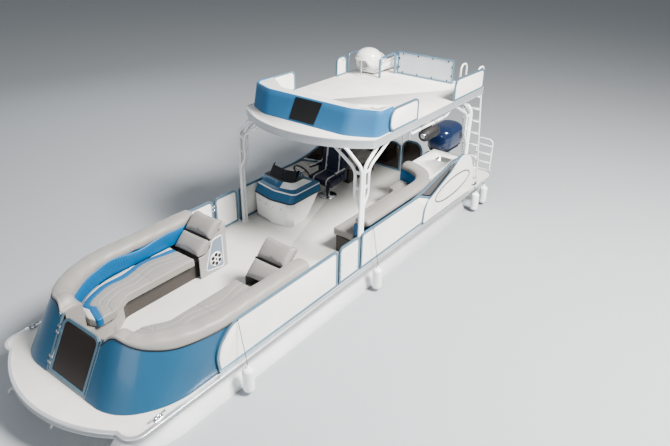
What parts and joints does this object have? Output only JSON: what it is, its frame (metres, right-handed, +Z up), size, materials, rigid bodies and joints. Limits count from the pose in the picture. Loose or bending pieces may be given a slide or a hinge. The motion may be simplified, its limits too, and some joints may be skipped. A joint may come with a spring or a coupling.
{
  "type": "double-deck pontoon boat",
  "caption": "Pontoon boat on three tubes with lounges, helm, railed upper deck, water slide, ladders and one outboard motor.",
  "frame": {"origin": "on the centreline at the still waterline, amidships between the ends of the main deck", "axes": "-Y toward the bow, +Y toward the stern, +X to port, +Z up"},
  "size_m": [2.7558, 10.2643, 3.682],
  "materials": {
    "tube_aluminium": "satin rolled aluminium",
    "anodised_rail": "light blue, satin",
    "white_sheet": "white, gloss",
    "blue_sheet": "steel blue, gloss",
    "smoked_sheet": "smoked, bare",
    "white_post": "white, gloss",
    "silver_trim": "satin extrusion",
    "floor": "pale sheet flooring",
    "upholstery": "warm grey coated fabric",
    "seat_base": "dark moulding",
    "white_moulding": "white",
    "blue_moulding": "blue-grey",
    "screen": "tinted acrylic",
    "black_grip": "black",
    "stainless": "polished",
    "motor_paint": "dark navy, gloss",
    "engine": "bare",
    "fender_vinyl": "white vinyl",
    "rope": "braided line"
  },
  "bodies": {
    "root": {"aft_bench_base": "seat_base", "aft_bench_pads": "upholstery", "aft_lounge_base": "seat_base", "aft_seat_back": "upholstery", "aft_seat_cushion": "upholstery", "bow_gate_posts": "anodised_rail", "bow_lounge_bases": "seat_base", "bow_seat_backs": "upholstery", "bow_seat_cushions": "upholstery", "bow_walls": "blue_sheet", "center_tube": "tube_aluminium", "chair_pedestal": "stainless", "chaise_frames": "upholstery", "chaise_pads": "upholstery", "clamp_bracket": "motor_paint", "cleats": "stainless", "cross_members": "silver_trim", "deck": "floor", "deck_trim": "silver_trim", "fender_lines": "rope", "fenders": "fender_vinyl", "front_posts": "white_post", "gate_hinges": "stainless", "helm_cabinet": "white_moulding", "helm_pod": "blue_moulding", "helm_screen": "screen", "motor_pod": "tube_aluminium", "port_tube": "tube_aluminium", "quarter_panels": "white_sheet", "rear_posts": "white_post", "side_panels": "white_sheet", "side_rails": "anodised_rail", "slide": "white_moulding", "slide_hood": "white_moulding", "starboard_tube": "tube_aluminium", "stern_counter": "white_moulding", "stern_ladder": "white_post", "stern_panels": "smoked_sheet", "stern_rails": "anodised_rail", "swim_platforms": "silver_trim", "tower_speaker": "black_grip", "upper_bench": "white_moulding", "upper_floor": "floor", "upper_frame": "silver_trim", "upper_panels": "white_sheet", "upper_rails": "anodised_rail", "upper_wall": "blue_sheet"},
    "bow_gate_leaf": {"bow_gate": "anodised_rail"},
    "port_gate_leaf": {"port_gate": "anodised_rail"},
    "starboard_gate_leaf": {"starboard_gate": "anodised_rail"},
    "stern_gate_leaf": {"stern_gate": "anodised_rail"},
    "wheel": {"steering_wheel": "black_grip"},
    "captain_seat": {"chair_seat": "upholstery"},
    "swivel": {"swivel_bracket": "motor_paint"},
    "motor": {"motor_leg": "motor_paint", "motor_cowl": "motor_paint", "engine_block": "engine"},
    "prop": {"propeller": "stainless"},
    "boarding_ladder": {"swim_ladder": "stainless"}
  },
  "joints": [
    {"name": "bow_gate_swing", "type": "hinge", "parent": "root", "child": "bow_gate_leaf", "pos_m": [-0.3485, -3.75402, 0.488], "axis": [0, -0.4812, -0.8766], "range_deg": [0, 90]},
    {"name": "port_gate_swing", "type": "hinge", "parent": "root", "child": "port_gate_leaf", "pos_m": [1.236, -0.2675, 0.488], "axis": [0, 0, 1], "range_deg": [0, 90]},
    {"name": "starboard_gate_swing", "type": "hinge", "parent": "root", "child": "starboard_gate_leaf", "pos_m": [-1.236, -0.2675, 0.488], "axis": [0, 0, -1], "range_deg": [0, 90]},
    {"name": "stern_gate_swing", "type": "hinge", "parent": "root", "child": "stern_gate_leaf", "pos_m": [0.262, 3.822, 0.488], "axis": [0, 0, 1], "range_deg": [0, 90]},
    {"name": "wheel_turn", "type": "hinge", "parent": "root", "child": "wheel", "pos_m": [-0.88, 1.5, 1.06], "axis": [0, 0.8829, 0.4695], "range_deg": [-720, 720]},
    {"name": "chair_swivel", "type": "hinge", "parent": "root", "child": "captain_seat", "pos_m": [-0.7, 2.03, 0.75], "axis": [0, 0, 1], "continuous": true},
    {"name": "motor_tilt", "type": "hinge", "parent": "root", "child": "swivel", "pos_m": [0, 4.93, 0.35], "axis": [1, 0, 0], "range_deg": [0, 65]},
    {"name": "motor_steer", "type": "hinge", "parent": "swivel", "child": "motor", "pos_m": [0, 5.03, 0.165], "axis": [0, 0, 1], "range_deg": [-30, 30]},
    {"name": "prop_spin", "type": "hinge", "parent": "motor", "child": "prop", "pos_m": [0, 5.46, -0.56], "axis": [0, 1, 0], "continuous": true},
    {"name": "boarding_ladder_fold", "type": "hinge", "parent": "root", "child": "boarding_ladder", "pos_m": [1.01, 5.03, 0.472], "axis": [-1, 0, 0], "range_deg": [0, 170]}
  ],
  "couplings": [
    {"joint": "motor_steer", "follows": "wheel_turn", "ratio": 0.041667}
  ]
}
